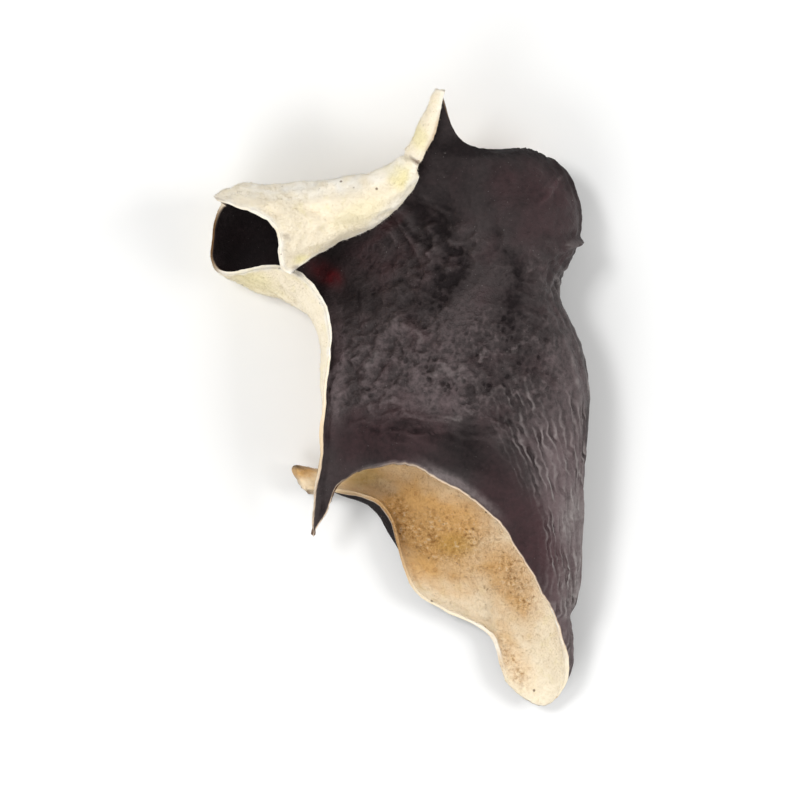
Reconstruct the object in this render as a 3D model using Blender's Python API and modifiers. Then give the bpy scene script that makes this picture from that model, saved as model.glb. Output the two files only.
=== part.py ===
"""Dried wood ear: one curled piece of a dried jelly fungus, as it lies on a table.

The fruit body is a single thin, leathery sheet.  It is folded over along its right side, so that one
layer lies on the table and the other arches back over it like a roof, and the roof's far corner is
rolled up into a small horn that ends in a spike.  The dark, wrinkled face is outside and the pale
felted face is inside the fold.

The sheet is a cage of ribs and rails.  A rail runs from the front rim to the back edge, and a rib runs
across the sheet: from the free margin of the under layer, round the fold, over the roof and on to the
upper margin.  Cage points are in millimetres: x to the right, y to the back, z up from the table.
The origin is on the table, under the middle of the piece.
"""

import math

import bmesh
import bpy

MM = 0.001

# ----------------------------------------------------------------------------------------------------
# Driving sizes, in millimetres
# ----------------------------------------------------------------------------------------------------
SHEET_THICKNESS = 0.8  # a dried cap, measured across a torn edge
UNDER_LEVEL = 0.73  # middle of the under layer above the table
UNDER_RIPPLE = 0.52  # how far the under layer waves up and down about that level
UNDER_WAVE_RIBS = 4.8  # ribs from one crest of that wave to the next, along the piece
UNDER_WAVE_SHARE = 0.75  # crests of that wave across the under layer, from its margin to its foot
CUT_DEPTH = 3.0  # depth of the block that flattens the spots the piece rests on
CUT_MARGIN = 10.0  # how far that block reaches past the sheet
SMOOTHING_LEVELS = 2

SKIN_COLOUR = (0.072, 0.053, 0.054, 1.0)  # purplish brown, nearly black
SKIN_ROUGHNESS = 0.55
NODE_NAME = "wood_ear"
COLLECTION_NAME = "dried_wood_ear"

# ----------------------------------------------------------------------------------------------------
# Cage layout
# ----------------------------------------------------------------------------------------------------
RIB_COUNT = 11
RAIL_COUNT = 14  # rails of the folded sheet
HORN_RAIL_COUNT = 4  # further rails of the rolled corner
UNDER_RIB = 2  # first rib whose under layer lies hidden below the roof
MOUTH_RIB = 6  # the horn's mouth, and the first rib of the rolled corner
UNDER_SHARES = (0.2, 0.42, 0.64, 0.84)  # places of the under layer's inner rails, margin to foot

# First rib, the front rim, on the under layer: the small tongue at the left, then the spoon.
FRONT_RIM = (
    (-10.2, -8.2, 2.4), (-4.6, -8.4, 3.4), (0.2, -10.6, 3.4),
    (0.0, -18.6, 2.6), (9.4, -19.8, 2.2), (9.0, -26.6, 2.4),
)
# Second rib, just inside that rim: low down, so that the rim stands up as a lip.
FRONT_LIP = (
    (-11.0, -5.2, 2.2), (-4.8, -9.6, 1.3), (-0.6, -12.4, 0.7),
    (2.4, -16.8, 0.6), (8.2, -20.0, 0.5), (10.8, -25.4, 0.7),
)
# The under layer's hidden margin and the foot of the fold, from the third rib on.
UNDER_MARGIN = (
    (-4.6, -8.0), (-4.2, 1.0), (-3.8, 5.0), (-2.4, 8.5), (0.4, 11.6),
    (3.4, 14.4), (6.4, 17.0), (8.8, 19.0), (10.0, 20.2),
)
FOLD_FOOT = (
    (14.0, -14.5), (14.6, -7.0), (15.3, -0.3), (14.8, 5.0), (12.2, 10.0),
    (14.2, 14.5), (14.8, 18.0), (13.9, 20.4), (12.6, 21.4),
)
# The fold's outermost line: the tip of the spoon, the long side, the waist and the back lobe.
FOLD_SIDE = (
    (14.0, -30.4, 1.5), (15.4, -26.0, 1.5), (17.1, -17.4, 4.4), (17.1, -7.5, 5.4),
    (18.3, 0.2, 5.4), (17.6, 5.0, 5.2), (14.7, 10.0, 4.8), (17.2, 14.2, 4.8),
    (17.8, 18.0, 4.6), (16.6, 20.6, 4.0), (14.6, 21.6, 2.8),
)
SHOULDER = (
    (16.6, -24.6, 4.4), (16.5, -20.0, 5.6), (15.8, -13.0, 9.2), (15.4, -5.8, 10.2),
    (15.9, 0.8, 10.4), (15.4, 6.0, 10.2), (12.7, 10.4, 9.4), (15.0, 14.4, 9.6),
    (15.2, 18.0, 9.0), (14.2, 21.0, 7.4), (12.8, 22.2, 4.8),
)
CROWN = (
    (13.2, -17.2, 8.2), (14.2, -14.2, 9.2), (12.6, -7.8, 11.0), (12.0, -1.8, 11.6),
    (12.2, 3.4, 11.6), (11.6, 7.6, 11.2), (9.9, 11.8, 10.2), (11.8, 15.6, 11.0),
    (12.2, 18.8, 10.4), (11.8, 22.6, 8.6), (11.2, 23.2, 5.8),
)
ROOF = (
    (9.4, -10.6, 10.6), (9.4, -8.0, 11.2), (7.4, -3.0, 11.8), (6.8, 2.2, 11.8),
    (6.6, 6.4, 11.4), (6.2, 9.8, 10.8), (5.8, 13.2, 9.8), (7.8, 16.8, 10.4),
    (8.8, 19.6, 10.4), (9.2, 22.4, 9.4), (9.2, 23.0, 7.2),
)
FLANK = (
    (1.0, -6.2, 10.8), (0.8, -2.8, 11.3), (1.2, 1.2, 11.2), (1.2, 5.4, 10.6),
    (0.8, 8.8, 9.4), (0.8, 11.6, 8.4), (1.2, 14.2, 7.8), (3.4, 17.4, 8.8),
    (5.6, 19.8, 9.6), (6.4, 22.0, 10.2), (6.8, 23.4, 9.6),
)
HOLLOW = (
    (-5.2, -5.9, 8.8), (-3.8, -2.8, 9.4), (-3.4, 2.2, 9.0), (-5.0, 7.4, 6.8),
    (-6.6, 10.8, 4.6), (-8.2, 12.2, 2.8), (-5.6, 15.0, 4.2), (-1.6, 17.0, 6.8),
    (2.2, 18.8, 8.4), (3.9, 21.6, 10.0), (4.6, 25.4, 12.4),
)
# The last two rails of the folded sheet, up to the horn's mouth: the turned-up edge and its margin.
CURL = (
    (-6.1, -9.0, 7.2), (-5.9, -4.5, 8.6), (-6.6, 1.2, 8.6), (-8.8, 7.2, 6.8),
    (-13.4, 8.6, 1.4), (-14.4, 11.6, -2.2), (-13.4, 17.0, -0.6),
)
UPPER_MARGIN = (
    (-7.9, -12.8, 5.6), (-7.5, -7.5, 8.0), (-7.0, -0.5, 9.8), (-5.4, 8.0, 11.4),
    (-10.6, 14.0, 9.0), (-18.0, 9.2, 2.8), (-17.2, 20.6, 6.0),
)
# The horn's upper lip, on the mouth rib, to the corner that comes down over the margin.
MOUTH_LIP = ((-15.4, 18.6, 11.4), (-11.2, 16.9, 13.8), (-11.2, 14.0, 13.2), (-9.4, 12.3, 11.8))

# Sections of the horn behind its mouth: centre, radius, heading of the section's near side in degrees,
# and the angles, from straight down, at which the roll starts and ends.
HORN_SECTIONS = (
    ((-8.3, 16.9, 7.4), 2.8, -65.0, -10.0, 280.0),
    ((-2.9, 18.2, 9.4), 2.0, -60.0, -10.0, 275.0),
    ((1.6, 21.2, 10.8), 1.1, -32.0, -20.0, 250.0),
    ((4.0, 28.5, 14.0), 0.6, -18.0, 10.0, 190.0),
)


# ----------------------------------------------------------------------------------------------------
# The cage
# ----------------------------------------------------------------------------------------------------
def under_height(rib, share):
    """Height of the under layer's middle: a slow wave along and across it, lowest where it rests."""
    crests = rib / UNDER_WAVE_RIBS + UNDER_WAVE_SHARE * share
    return UNDER_LEVEL + UNDER_RIPPLE * math.cos(2.0 * math.pi * crests)


def under_points(rib):
    """The six points of one rib on the under layer, from its margin to the foot of the fold."""
    margin = UNDER_MARGIN[rib - UNDER_RIB]
    foot = FOLD_FOOT[rib - UNDER_RIB]
    points = []
    for share in (0.0, *UNDER_SHARES, 1.0):
        x = margin[0] + (foot[0] - margin[0]) * share
        y = margin[1] + (foot[1] - margin[1]) * share
        points.append((x, y, under_height(rib, share)))
    return points


def horn_points(section):
    """Six points round one section of the horn, from below the roof round to its free margin.

    The radius is enlarged so that the smoothed surface, which runs inside its cage, has the true one.
    """
    (x, y, z), radius, heading, start, end = section
    count = 2 + HORN_RAIL_COUNT
    step = math.radians(end - start) / (count - 1)
    cage_radius = 3.0 * radius / (2.0 + math.cos(step))
    side = (math.cos(math.radians(heading)), math.sin(math.radians(heading)))
    points = []
    for number in range(count):
        angle = math.radians(start) + step * number
        across = -cage_radius * math.sin(angle)
        points.append((x + side[0] * across, y + side[1] * across, z - cage_radius * math.cos(angle)))
    return points


def rib_points(rib):
    """All points of one rib in order, without the ones that the rolled corner lacks there."""
    if rib == 0:
        points = list(FRONT_RIM)
    elif rib == 1:
        points = list(FRONT_LIP)
    else:
        points = under_points(rib)
    points += [rail[rib] for rail in (FOLD_SIDE, SHOULDER, CROWN, ROOF, FLANK, HOLLOW)]
    if rib <= MOUTH_RIB:
        points += [CURL[rib], UPPER_MARGIN[rib]]
        if rib == MOUTH_RIB:
            points += list(MOUTH_LIP)
    else:
        points += horn_points(HORN_SECTIONS[rib - MOUTH_RIB - 1])
    return points


def cage_mesh():
    """The open cage: a grid moved to the cage points, less the block in front of the horn's mouth."""
    columns = RAIL_COUNT + HORN_RAIL_COUNT
    mesh = bpy.data.meshes.new(NODE_NAME)
    bm = bmesh.new()
    bmesh.ops.create_grid(bm, x_segments=columns - 1, y_segments=RIB_COUNT - 1, size=1.0)
    surplus = []
    for vertex in bm.verts:
        rail = round((vertex.co.x + 1.0) / 2.0 * (columns - 1))
        rib = round((vertex.co.y + 1.0) / 2.0 * (RIB_COUNT - 1))
        points = rib_points(rib)
        if rail < len(points):
            vertex.co = [value * MM for value in points[rail]]
        else:
            surplus.append(vertex)
    bmesh.ops.delete(bm, geom=surplus, context="VERTS")
    bm.to_mesh(mesh)
    bm.free()
    return mesh


# ----------------------------------------------------------------------------------------------------
# Material, objects and modifiers
# ----------------------------------------------------------------------------------------------------
def dark_skin():
    """The dark outer skin: purplish brown, dry, with a dull shine."""
    material = bpy.data.materials.new("dried_wood_ear_skin")
    material.use_nodes = True
    shader = material.node_tree.nodes["Principled BSDF"]
    shader.inputs["Base Color"].default_value = SKIN_COLOUR
    shader.inputs["Roughness"].default_value = SKIN_ROUGHNESS
    shader.inputs["Metallic"].default_value = 0.0
    return material


def new_collection(name):
    """A new collection in the scene."""
    collection = bpy.data.collections.new(name)
    bpy.context.scene.collection.children.link(collection)
    return collection


def table_cutter(collection):
    """A block just under the table's surface, which flattens what would reach into it."""
    xs = [point[0] for rib in range(RIB_COUNT) for point in rib_points(rib)]
    ys = [point[1] for rib in range(RIB_COUNT) for point in rib_points(rib)]
    low = (min(xs) - CUT_MARGIN, min(ys) - CUT_MARGIN, -CUT_DEPTH)
    high = (max(xs) + CUT_MARGIN, max(ys) + CUT_MARGIN, 0.0)
    mesh = bpy.data.meshes.new("table_cut")
    bm = bmesh.new()
    bmesh.ops.create_cube(bm, size=1.0)
    for vertex in bm.verts:
        for axis in range(3):
            span = (high[axis] - low[axis]) * MM
            middle = (high[axis] + low[axis]) / 2.0 * MM
            vertex.co[axis] = middle + vertex.co[axis] * span
    bm.to_mesh(mesh)
    bm.free()
    cutter = bpy.data.objects.new("table_cut", mesh)
    cutter.hide_render = True
    cutter.display_type = "WIRE"
    collection.objects.link(cutter)
    return cutter


def wood_ear(collection, cutter):
    """The whole piece: smoothed cage, given its thickness, flattened where it rests."""
    mesh = cage_mesh()
    mesh.shade_smooth()
    mesh.materials.append(dark_skin())
    piece = bpy.data.objects.new(NODE_NAME, mesh)
    collection.objects.link(piece)

    smooth = piece.modifiers.new("dried_curves", "SUBSURF")
    smooth.levels = SMOOTHING_LEVELS
    smooth.render_levels = SMOOTHING_LEVELS
    smooth.boundary_smooth = "PRESERVE_CORNERS"

    sheet = piece.modifiers.new("sheet_thickness", "SOLIDIFY")
    sheet.thickness = SHEET_THICKNESS * MM
    sheet.offset = 0.0

    rest = piece.modifiers.new("flat_where_it_rests", "BOOLEAN")
    rest.operation = "DIFFERENCE"
    rest.solver = "EXACT"
    rest.object = cutter
    return piece


def main():
    """Clears the scene and builds the piece."""
    for scene_object in list(bpy.data.objects):
        bpy.data.objects.remove(scene_object, do_unlink=True)
    cutter = table_cutter(new_collection("cutters"))
    wood_ear(new_collection(COLLECTION_NAME), cutter)


main()
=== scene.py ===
"""Looks of the dried wood ear: a folded sheet with a dark wrinkled skin and a pale felted inner face.

The sheet is a smooth surface over a cage of ribs and rails, in millimetres: x to the right, y to the
back, z up from the table.  A rail (u) runs from the front rim to the back edge, and a rib (v) runs across
the sheet, from the hidden margin of the lower layer, round the fold and over the roof, to the upper
margin or round the rolled corner, the horn.  Both faces get their relief along the surface's normal, a
rounded edge closes them, and the pale face carries short felt hairs.
"""

from __future__ import annotations

import logging
import math
from collections.abc import Callable
from dataclasses import dataclass, field
from enum import Enum
from functools import cached_property, partial

import bpy
import numpy as np
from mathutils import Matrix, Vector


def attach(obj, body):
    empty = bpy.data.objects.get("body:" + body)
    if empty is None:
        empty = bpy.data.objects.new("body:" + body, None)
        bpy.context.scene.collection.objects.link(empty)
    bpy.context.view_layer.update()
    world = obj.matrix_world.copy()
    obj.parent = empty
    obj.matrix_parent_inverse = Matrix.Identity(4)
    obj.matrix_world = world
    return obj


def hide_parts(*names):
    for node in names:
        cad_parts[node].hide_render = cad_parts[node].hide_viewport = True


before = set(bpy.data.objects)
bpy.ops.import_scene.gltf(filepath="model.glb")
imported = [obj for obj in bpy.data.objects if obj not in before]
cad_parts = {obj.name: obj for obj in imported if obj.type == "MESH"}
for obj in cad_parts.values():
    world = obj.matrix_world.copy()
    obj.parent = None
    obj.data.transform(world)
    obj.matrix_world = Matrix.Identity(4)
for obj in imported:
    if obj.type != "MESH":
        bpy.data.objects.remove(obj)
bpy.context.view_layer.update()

LOG = logging.getLogger("wood_ear")
MM = 0.001
NODE = "wood_ear"
BODY = "root"
FELT_FIELDS = ("tan", "speck", "lip", "stain", "yellow")
HAIR_COUNT = 40000
HAIR_SEED = 71
RIDGE_WIDTH = 0.28
RIDGE_LEVEL = 0.4

Point3 = tuple[float, float, float]
Point2 = tuple[float, float]
Run = tuple[float, float, int]


class Face(Enum):
    """The two faces of the sheet, as the side of its middle surface that each lies on."""

    DARK = 1.0
    PALE = -1.0


class Crumple(Enum):
    """How a field of noise is shaped into relief."""

    ROUND = "soft lumps and dips"
    RIDGED = "thin raised folds between wider dips"


class Laid(Enum):
    """Where the directions of wrinkles are measured."""

    PLAN = "seen from above"
    SHEET = "on the sheet, rolled out flat"


# ---- Numbers and fields ----
def smoothstep(value: np.ndarray, low: float, high: float) -> np.ndarray:
    """Rises from 0 at low to 1 at high: 3t^2 - 2t^3 of the clipped share t; high may be below low."""
    share = np.clip((value - low) / (high - low), 0.0, 1.0)
    return share * share * (3.0 - 2.0 * share)


def unit(vectors: np.ndarray) -> np.ndarray:
    """Vectors over their own lengths, along the last axis."""
    return vectors / np.maximum(np.linalg.norm(vectors, axis=-1, keepdims=True), 1e-9)


def samples(runs: tuple[Run, ...]) -> np.ndarray:
    """Even samples of runs that follow each other, as start, end and count, with the last one's end."""
    parts = [np.linspace(start, end, count, endpoint=False) for start, end, count in runs]
    return np.concatenate([*parts, [runs[-1][1]]])


def table(kind: type, *rows: tuple) -> tuple:
    """One item of a kind for each row of its values."""
    return tuple(kind(*row) for row in rows)


class Noise:
    """Smooth random field in space: gradient noise on a unit lattice.

    At each lattice point sits a random direction.  The value is the blend, by 6t^5 - 15t^4 + 10t^3 of the
    place inside the cell, of the eight corners' directions times the way from each corner.
    """

    TABLE = 256
    GAIN = 1.6
    LAYER_SHIFT = 17.3
    LAYERED_SPAN = 1.4

    def __init__(self, seed: int) -> None:
        """Draws the lattice's order and directions.

        Args:
            seed: seed of the random draws.
        """
        draw = np.random.default_rng(seed)
        self.order = draw.permutation(self.TABLE)
        self.directions = unit(draw.normal(size=(self.TABLE, 3)))

    def at(self, place: np.ndarray) -> np.ndarray:
        """The field at places given in cells.

        Args:
            place: the places, (..., 3).

        Returns:
            Values of about -1 to 1, (...).
        """
        cell = np.floor(place).astype(np.int64)
        within = place - cell
        blend = within**3 * (within * (within * 6.0 - 15.0) + 10.0)
        total = np.zeros(place.shape[:-1])
        for number in range(8):
            step = np.array([number & 1, (number >> 1) & 1, (number >> 2) & 1])
            weight = np.prod(np.where(step == 1, blend, 1.0 - blend), axis=-1)
            corner = 0
            for axis in range(3):
                corner = self.order[(corner + cell[..., axis] + step[axis]) % self.TABLE]
            total += weight * np.sum(self.directions[corner] * (within - step), axis=-1)
        return total * self.GAIN

    def layered(self, place: np.ndarray, layers: int = 3) -> np.ndarray:
        """Sum of the field's layers, each with half the cells and half the height of the one before.

        Args:
            place: the places in cells, (..., 3).
            layers: how many layers.

        Returns:
            Values of about -1 to 1, (...).
        """
        total = np.zeros(place.shape[:-1])
        for layer in range(layers):
            total += self.at(place * 2.0**layer + self.LAYER_SHIFT * layer) / 2.0**layer
        return total / self.LAYERED_SPAN


# ---- The middle surface ----
@dataclass(frozen=True)
class Cage:
    """Cage points of the sheet, in millimetres, as its solid has them."""

    ribs: int = 11
    rails: int = 14
    horn_rails: int = 4
    mouth_rib: int = 6
    under_rib: int = 2
    under_shares: tuple[float, ...] = (0.2, 0.42, 0.64, 0.84)
    under_level: float = 0.73
    under_ripple: float = 0.52
    under_wave_ribs: float = 4.8
    under_wave_share: float = 0.75
    front_rim: tuple[Point3, ...] = (
        (-10.2, -8.2, 2.4), (-4.6, -8.4, 3.4), (0.2, -10.6, 3.4), (0, -18.6, 2.6), (9.4, -19.8, 2.2),
        (9, -26.6, 2.4),
    )
    front_lip: tuple[Point3, ...] = (
        (-11, -5.2, 2.2), (-4.8, -9.6, 1.3), (-0.6, -12.4, 0.7), (2.4, -16.8, 0.6), (8.2, -20, 0.5),
        (10.8, -25.4, 0.7),
    )
    under_margin: tuple[Point2, ...] = (
        (-4.6, -8), (-4.2, 1), (-3.8, 5), (-2.4, 8.5), (0.4, 11.6), (3.4, 14.4), (6.4, 17), (8.8, 19),
        (10, 20.2),
    )
    fold_foot: tuple[Point2, ...] = (
        (14, -14.5), (14.6, -7), (15.3, -0.3), (14.8, 5), (12.2, 10), (14.2, 14.5), (14.8, 18),
        (13.9, 20.4), (12.6, 21.4),
    )
    fold_side: tuple[Point3, ...] = (
        (14, -30.4, 1.5), (15.4, -26, 1.5), (17.1, -17.4, 4.4), (17.1, -7.5, 5.4), (18.3, 0.2, 5.4),
        (17.6, 5, 5.2), (14.7, 10, 4.8), (17.2, 14.2, 4.8), (17.8, 18, 4.6), (16.6, 20.6, 4),
        (14.6, 21.6, 2.8),
    )
    shoulder: tuple[Point3, ...] = (
        (16.6, -24.6, 4.4), (16.5, -20, 5.6), (15.8, -13, 9.2), (15.4, -5.8, 10.2), (15.9, 0.8, 10.4),
        (15.4, 6, 10.2), (12.7, 10.4, 9.4), (15, 14.4, 9.6), (15.2, 18, 9), (14.2, 21, 7.4),
        (12.8, 22.2, 4.8),
    )
    crown: tuple[Point3, ...] = (
        (13.2, -17.2, 8.2), (14.2, -14.2, 9.2), (12.6, -7.8, 11), (12, -1.8, 11.6), (12.2, 3.4, 11.6),
        (11.6, 7.6, 11.2), (9.9, 11.8, 10.2), (11.8, 15.6, 11), (12.2, 18.8, 10.4), (11.8, 22.6, 8.6),
        (11.2, 23.2, 5.8),
    )
    roof: tuple[Point3, ...] = (
        (9.4, -10.6, 10.6), (9.4, -8, 11.2), (7.4, -3, 11.8), (6.8, 2.2, 11.8), (6.6, 6.4, 11.4),
        (6.2, 9.8, 10.8), (5.8, 13.2, 9.8), (7.8, 16.8, 10.4), (8.8, 19.6, 10.4), (9.2, 22.4, 9.4),
        (9.2, 23, 7.2),
    )
    flank: tuple[Point3, ...] = (
        (1, -6.2, 10.8), (0.8, -2.8, 11.3), (1.2, 1.2, 11.2), (1.2, 5.4, 10.6), (0.8, 8.8, 9.4),
        (0.8, 11.6, 8.4), (1.2, 14.2, 7.8), (3.4, 17.4, 8.8), (5.6, 19.8, 9.6), (6.4, 22, 10.2),
        (6.8, 23.4, 9.6),
    )
    hollow: tuple[Point3, ...] = (
        (-5.2, -5.9, 8.8), (-3.8, -2.8, 9.4), (-3.4, 2.2, 9), (-5, 7.4, 6.8), (-6.6, 10.8, 4.6),
        (-8.2, 12.2, 2.8), (-5.6, 15, 4.2), (-1.6, 17, 6.8), (2.2, 18.8, 8.4), (3.9, 21.6, 10),
        (4.6, 25.4, 12.4),
    )
    curl: tuple[Point3, ...] = (
        (-6.1, -9, 7.2), (-5.9, -4.5, 8.6), (-6.6, 1.2, 8.6), (-8.8, 7.2, 6.8), (-13.4, 8.6, 1.4),
        (-14.4, 11.6, -2.2), (-13.4, 17, -0.6),
    )
    upper_margin: tuple[Point3, ...] = (
        (-7.9, -12.8, 5.6), (-7.5, -7.5, 8), (-7, -0.5, 9.8), (-5.4, 8, 11.4), (-10.6, 14, 9),
        (-18, 9.2, 2.8), (-17.2, 20.6, 6),
    )
    mouth_lip: tuple[Point3, ...] = (
        (-15.4, 18.6, 11.4), (-11.2, 16.9, 13.8), (-11.2, 14, 13.2), (-9.4, 12.3, 11.8),
    )
    # Sections of the horn: centre, radius, heading of its near side, start and end of the roll in degrees.
    horn_sections: tuple[tuple[Point3, float, float, float, float], ...] = (
        ((-8.3, 16.9, 7.4), 2.8, -65, -10, 280), ((-2.9, 18.2, 9.4), 2, -60, -10, 275),
        ((1.6, 21.2, 10.8), 1.1, -32, -20, 250), ((4, 28.5, 14), 0.6, -18, 10, 190),
    )

    def under_row(self, rib: int) -> np.ndarray:
        """Points of one rib on the lower layer: straight from margin to foot, waved in height.

        Args:
            rib: number of the rib, from under_rib on.

        Returns:
            Six points, (6, 3).
        """
        share = np.array((0.0, *self.under_shares, 1.0))
        margin = np.array(self.under_margin[rib - self.under_rib])
        foot = np.array(self.fold_foot[rib - self.under_rib])
        plan = margin + (foot - margin) * share[:, None]
        crests = rib / self.under_wave_ribs + self.under_wave_share * share
        height = self.under_level + self.under_ripple * np.cos(2.0 * math.pi * crests)
        return np.column_stack([plan, height])

    def horn_row(self, section: tuple[Point3, float, float, float, float]) -> np.ndarray:
        """Points round one section of the horn: an arc in the upright plane of its heading.

        Args:
            section: centre, radius, heading, start and end of the roll.

        Returns:
            Points from below the roof round to the free margin, (2 + horn_rails, 3).
        """
        centre, radius, heading, start, end = section
        angle = np.radians(np.linspace(start, end, 2 + self.horn_rails))
        cage_radius = 3.0 * radius / (2.0 + math.cos(angle[1] - angle[0]))
        side = np.array([math.cos(math.radians(heading)), math.sin(math.radians(heading)), 0.0])
        across = -cage_radius * np.sin(angle)[:, None] * side
        return np.array(centre) + across - cage_radius * np.cos(angle)[:, None] * np.array([0.0, 0.0, 1.0])

    def net(self) -> np.ndarray:
        """The whole cage as a table of points.

        Returns:
            (ribs, rails + horn_rails, 3), with nan in the block in front of the horn's mouth.
        """
        net = np.full((self.ribs, self.rails + self.horn_rails, 3), np.nan)
        net[0, :6] = self.front_rim
        net[1, :6] = self.front_lip
        for rib in range(self.under_rib, self.ribs):
            net[rib, :6] = self.under_row(rib)
        rows = (self.fold_side, self.shoulder, self.crown, self.roof, self.flank, self.hollow)
        for rail, points in enumerate(rows, start=6):
            net[:, rail] = points
        net[: self.mouth_rib + 1, 12] = self.curl
        net[: self.mouth_rib + 1, 13] = self.upper_margin
        net[self.mouth_rib, 14:] = self.mouth_lip
        for rib, section in enumerate(self.horn_sections, start=self.mouth_rib + 1):
            net[rib, 12:] = self.horn_row(section)
        return net

    def padded(self) -> np.ndarray:
        """The cage with one more point past each edge, mirrored through the edge, so that it is reached.

        Returns:
            (ribs + 2, rails + horn_rails + 2, 3), where missing points are 0.
        """
        net = self.net()
        last, mouth = self.rails - 1, self.mouth_rib
        net[:mouth, last + 1] = 2.0 * net[:mouth, last] - net[:mouth, last - 1]
        corner = net[mouth - 1, last + 1].copy()
        net[mouth - 1, last + 1:] = 2.0 * net[mouth, last + 1:] - net[mouth + 1, last + 1:]
        net[mouth - 1, last + 1] = (corner + net[mouth - 1, last + 1]) / 2.0
        full = np.pad(net, ((1, 1), (1, 1), (0, 0)), constant_values=np.nan)
        full[0] = 2.0 * full[1] - full[2]
        full[-1] = 2.0 * full[-2] - full[-3]
        full[:, 0] = 2.0 * full[:, 1] - full[:, 2]
        full[:, -1] = 2.0 * full[:, -2] - full[:, -3]
        return np.nan_to_num(full)


def spline_weights(share: np.ndarray) -> tuple[np.ndarray, np.ndarray]:
    """Weights of a uniform cubic B-spline's four points, and their slopes.

    Args:
        share: place inside the cell, 0 to 1.

    Returns:
        Weights and slopes, each with a last axis of four.
    """
    t = share
    weight = np.stack([(1 - t)**3, 3 * t**3 - 6 * t**2 + 4, -3 * t**3 + 3 * t**2 + 3 * t + 1, t**3], -1)
    slope = np.stack([-3 * (1 - t)**2, 9 * t**2 - 12 * t, -9 * t**2 + 6 * t + 3, 3 * t**2], -1)
    return weight / 6.0, slope / 6.0


def spline_surface(points: np.ndarray, u: np.ndarray, v: np.ndarray) -> tuple[np.ndarray, ...]:
    """Places and slopes on the bicubic B-spline surface over a padded cage.

    A place is the sum over the 4 by 4 cage points round it of rail weight times rib weight times point.

    Args:
        points: the padded cage, (rows, columns, 3).
        u: rail numbers, any shape.
        v: rib numbers, the same shape.

    Returns:
        Places, slopes along u and slopes along v, each (..., 3).
    """
    column = np.clip(np.floor(u).astype(int), 0, points.shape[1] - 4)
    row = np.clip(np.floor(v).astype(int), 0, points.shape[0] - 4)
    weight_u, slope_u = spline_weights(u - column)
    weight_v, slope_v = spline_weights(v - row)
    total = np.zeros((3, *u.shape, 3))
    for i in range(4):
        for j in range(4):
            point = points[row + j, column + i]
            total[0] += (weight_u[..., i] * weight_v[..., j])[..., None] * point
            total[1] += (slope_u[..., i] * weight_v[..., j])[..., None] * point
            total[2] += (weight_u[..., i] * slope_v[..., j])[..., None] * point
    return tuple(total)


# ---- Relief and colour fields, laid out in plan view ----
@dataclass(frozen=True)
class Area:
    """A soft ellipse in plan view, in mm, turned by a heading in degrees, and how strongly it tells."""

    x: float
    y: float
    along: float
    across: float
    heading: float
    strength: float

    def weight(self, place: np.ndarray) -> np.ndarray:
        """1 inside, falling to 0 past the rim: exp of minus the fourth power of the ellipse's radius.

        Args:
            place: points in millimetres, (..., 3).

        Returns:
            The weights, (...).
        """
        turn = math.radians(self.heading)
        east, north = place[..., 0] - self.x, place[..., 1] - self.y
        along = (east * math.cos(turn) + north * math.sin(turn)) / self.along
        across = (north * math.cos(turn) - east * math.sin(turn)) / self.across
        return np.exp(-(along**2 + across**2)**2)


@dataclass(frozen=True)
class Wrinkles(Area):
    """Noise stretched along a course inside an area: spacing across and length along it, in mm.

    The strength is the height in mm.  The course is in plan view, or on the sheet rolled out flat: 0 from
    the lower layer round the fold towards the roof, and 90 along the piece.
    """

    course: float
    spacing: float
    length: float
    # The share of the height painted into the skin's tone: painted shade in dips, painted highlight on
    # crests.
    shade: float = 0.6
    crumple: Crumple = Crumple.ROUND
    laid: Laid = Laid.PLAN

    def relief(self, plan: np.ndarray, sheet: np.ndarray, seed: int) -> np.ndarray:
        """Height of the wrinkles at each place.

        Args:
            plan: points in millimetres, (..., 3).
            sheet: the same points on the sheet rolled out flat, (..., 3).
            seed: seed of the noise.

        Returns:
            Heights in millimetres, (...).
        """
        place = plan if self.laid is Laid.PLAN else sheet
        turn = math.radians(self.course)
        along = place[..., 0] * math.cos(turn) + place[..., 1] * math.sin(turn)
        across = place[..., 1] * math.cos(turn) - place[..., 0] * math.sin(turn)
        cells = np.stack([across / self.spacing, along / self.length, place[..., 2] / self.spacing], -1)
        if self.crumple is Crumple.RIDGED:
            value = np.exp(-(Noise(seed).at(cells * 0.5) / RIDGE_WIDTH)**2) - RIDGE_LEVEL
        else:
            value = Noise(seed).layered(cells * 0.5, 2)
        return self.strength * value * self.weight(plan)


@dataclass(frozen=True)
class Pull:
    """A soft local move of the sheet, in mm: a place, how far the move reaches and its way."""

    x: float
    y: float
    z: float
    reach: float
    east: float
    north: float
    up: float = 0.0

    def moved(self, place: np.ndarray, slopes: tuple[np.ndarray, ...]) -> tuple[np.ndarray, ...]:
        """Moves places by the move times exp of minus the squared distance over the reach.

        Args:
            place: points in millimetres, (..., 3).
            slopes: slopes of the surface along its parameters at those points.

        Returns:
            The moved points, then the slopes of the moved surface.
        """
        away, move = place - np.array((self.x, self.y, self.z)), np.array((self.east, self.north, self.up))
        weight = np.exp(-np.sum(away**2, axis=-1, keepdims=True) / self.reach**2)
        turn = -2.0 * weight / self.reach**2
        turned = (slope + turn * np.sum(away * slope, axis=-1, keepdims=True) * move for slope in slopes)
        return (place + weight * move, *turned)


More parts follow.
